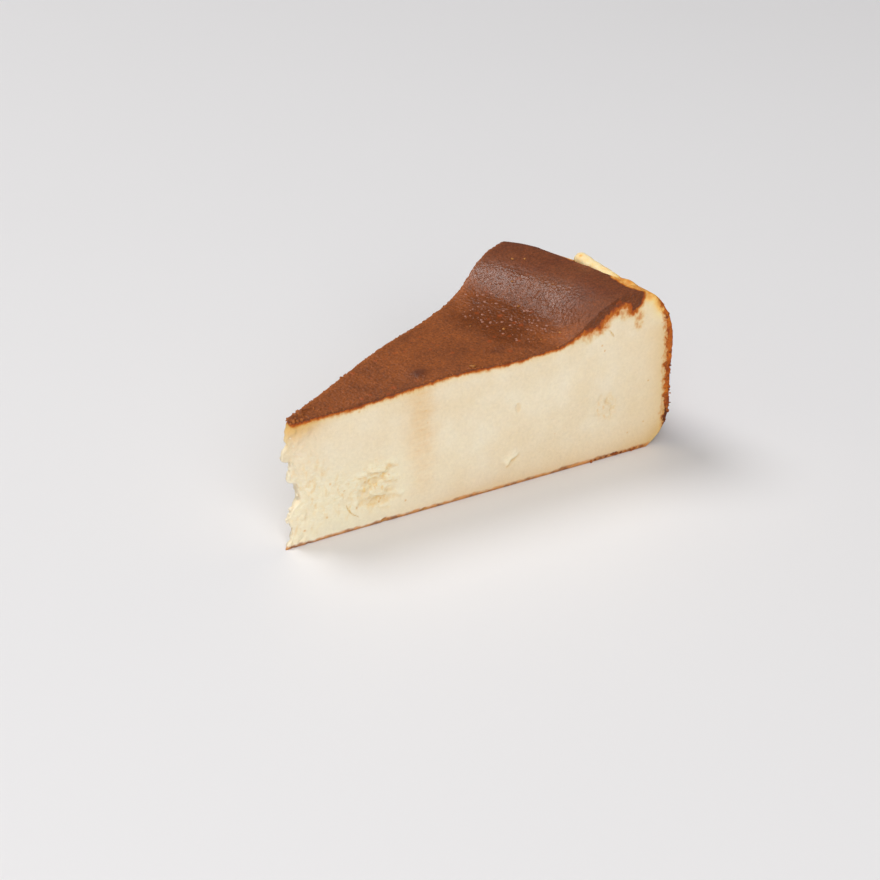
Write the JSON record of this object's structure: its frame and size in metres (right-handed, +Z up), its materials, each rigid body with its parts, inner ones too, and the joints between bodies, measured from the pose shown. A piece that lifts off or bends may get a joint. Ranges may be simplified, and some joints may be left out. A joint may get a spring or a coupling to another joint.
{
  "type": "slice of burnt cheesecake",
  "caption": "Wedge slice of tall crustless baked cheesecake: smooth cream-coloured cut faces under a caramelised brown top that rises to a rounded rim.",
  "frame": {"origin": "middle of the bounding box, on the flat base", "axes": "+X along the middle of the slice, from its point to its outer wall; +Z up"},
  "size_m": [0.1174, 0.0584, 0.0484],
  "materials": {
    "custard": "moist, finely grained cream-coloured cut faces, with a satin brown skin over the top and a thin brown edge on the outer wall"
  },
  "bodies": {
    "root": {"cheesecake_slice": "custard"}
  },
  "joints": []
}
